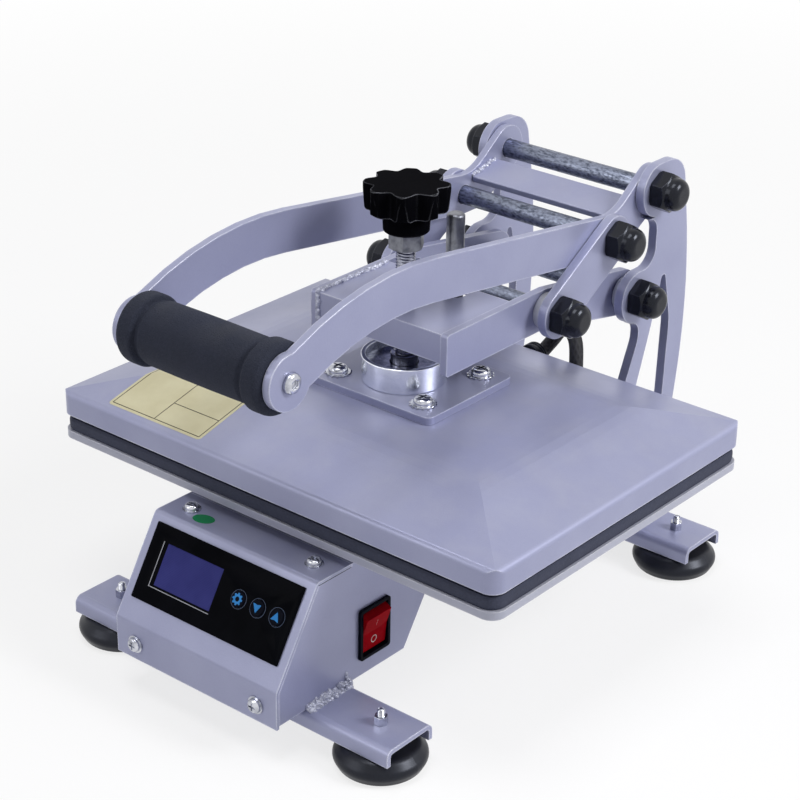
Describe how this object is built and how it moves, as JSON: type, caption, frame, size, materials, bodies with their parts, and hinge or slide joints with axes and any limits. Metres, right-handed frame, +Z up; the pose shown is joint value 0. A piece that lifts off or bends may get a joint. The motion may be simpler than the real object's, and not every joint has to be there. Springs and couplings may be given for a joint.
{
  "type": "manual heat press",
  "caption": "Clamshell manual heat press: heated upper platen on a beam closed by an open toggle linkage and handle, pressure screw with star knob, padded lower platen, sloped control box.",
  "frame": {"origin": "on the floor under the middle of the outline, X = 0 on the middle plane between the arms", "axes": "+X to the right seen from the front, +Y from the control panel to the uprights, +Z up"},
  "size_m": [0.334, 0.3895, 0.278],
  "materials": {
    "lilac_paint": "smooth satin powder coat, silver with a lilac cast",
    "zinc": "bright zinc plated steel",
    "black_plastic": "moulded black plastic with a soft sheen",
    "panel_gloss": "printed black film under clear gloss",
    "display": "dark violet liquid crystal behind a clear window",
    "board": "green solder mask",
    "red_plastic": "translucent red rocker",
    "key_plastic": "soft dark keys with a light blue symbol",
    "rubber": "black moulded rubber",
    "foam": "closed cell black foam",
    "silicone": "dark grey silicone sponge",
    "coated_aluminium": "cast plate with a dark non stick coat",
    "insulation": "needled glass mat"
  },
  "bodies": {
    "base": {"front_rail": "lilac_paint", "rear_rail": "lilac_paint", "rubber_feet": "rubber", "foot_bolts": "zinc", "spine_tube": "lilac_paint", "tower_plate": "lilac_paint", "upright_left": "lilac_paint", "upright_right": "lilac_paint", "handle_shaft": "zinc", "beam_shaft": "zinc", "pivot_spacers": "zinc", "frame_caps": "black_plastic", "lower_platen": "lilac_paint", "lower_screws": "zinc", "silicone_pad": "silicone", "box_body": "lilac_paint", "box_cover": "lilac_paint", "cover_screws": "zinc", "control_panel": "panel_gloss", "display_window": "display", "circuit_board": "board", "relay": "black_plastic", "switch_frame": "black_plastic", "power_inlet": "black_plastic", "heater_lead": "rubber", "box_boot": "rubber"},
    "beam": {"press_beam": "lilac_paint", "beam_nut": "zinc", "link_shaft": "zinc", "link_spacers": "zinc"},
    "platen": {"platen_boot": "rubber", "platen_cover": "lilac_paint", "heating_plate": "coated_aluminium", "heating_element": "zinc", "heat_sensor": "zinc", "insulation_mat": "insulation", "mount_plate": "lilac_paint", "mount_screws": "zinc", "pressure_cup": "zinc", "cup_ring": "zinc", "guide_post": "zinc"},
    "screw": {"pressure_screw": "zinc", "lock_nut": "zinc", "star_knob": "black_plastic"},
    "handle": {"arm_left": "lilac_paint", "arm_right": "lilac_paint", "tie_plate": "lilac_paint", "grip_core": "zinc", "foam_grip": "foam", "grip_bolts": "zinc"},
    "links": {"link_left": "lilac_paint", "link_right": "lilac_paint", "knee_shaft": "zinc", "link_pins": "zinc", "link_caps": "black_plastic"},
    "rocker": {"rocker": "red_plastic"},
    "key_set": {"key_set": "key_plastic"},
    "key_down": {"key_down": "key_plastic"},
    "key_up": {"key_up": "key_plastic"}
  },
  "joints": [
    {"name": "beam_lift", "type": "hinge", "parent": "base", "child": "beam", "pos_m": [0, 0.139, 0.178], "axis": [-1, 0, 0], "range_deg": [0, 44.41], "deforming": ["heater_lead"]},
    {"name": "handle_lift", "type": "hinge", "parent": "base", "child": "handle", "pos_m": [0, 0.1555, 0.2445], "axis": [-1, 0, 0], "range_deg": [0, 90.1]},
    {"name": "link_swing", "type": "hinge", "parent": "handle", "child": "links", "pos_m": [0, 0.1105, 0.2247], "axis": [-1, 0, 0], "range_deg": [-103, 0]},
    {"name": "platen_slide", "type": "slide", "parent": "beam", "child": "platen", "axis": [0, 0, 1], "range_m": [0, 0.00525]},
    {"name": "screw_turn", "type": "hinge", "parent": "platen", "child": "screw", "pos_m": [0, -0.0105, 0.25], "axis": [0, 0, 1], "range_deg": [0, 1080]},
    {"name": "rocker_flip", "type": "hinge", "parent": "base", "child": "rocker", "pos_m": [0.059, -0.1105, 0.0525], "axis": [0, 1, 0], "range_deg": [-23, 0]},
    {"name": "key_set_press", "type": "slide", "parent": "base", "child": "key_set", "axis": [0, 0.8527, -0.5224], "range_m": [0, 0.0006], "stiffness_N_per_m": 800, "springref_m": -0.0006},
    {"name": "key_down_press", "type": "slide", "parent": "base", "child": "key_down", "axis": [0, 0.8527, -0.5224], "range_m": [0, 0.0006], "stiffness_N_per_m": 800, "springref_m": -0.0006},
    {"name": "key_up_press", "type": "slide", "parent": "base", "child": "key_up", "axis": [0, 0.8527, -0.5224], "range_m": [0, 0.0006], "stiffness_N_per_m": 800, "springref_m": -0.0006}
  ],
  "couplings": [
    {"joint": "handle_lift", "follows": "beam_lift", "ratio": 2.0266},
    {"joint": "link_swing", "follows": "beam_lift", "ratio": -2.3159},
    {"joint": "screw_turn", "follows": "platen_slide", "rad_per_m": 3590.4}
  ]
}
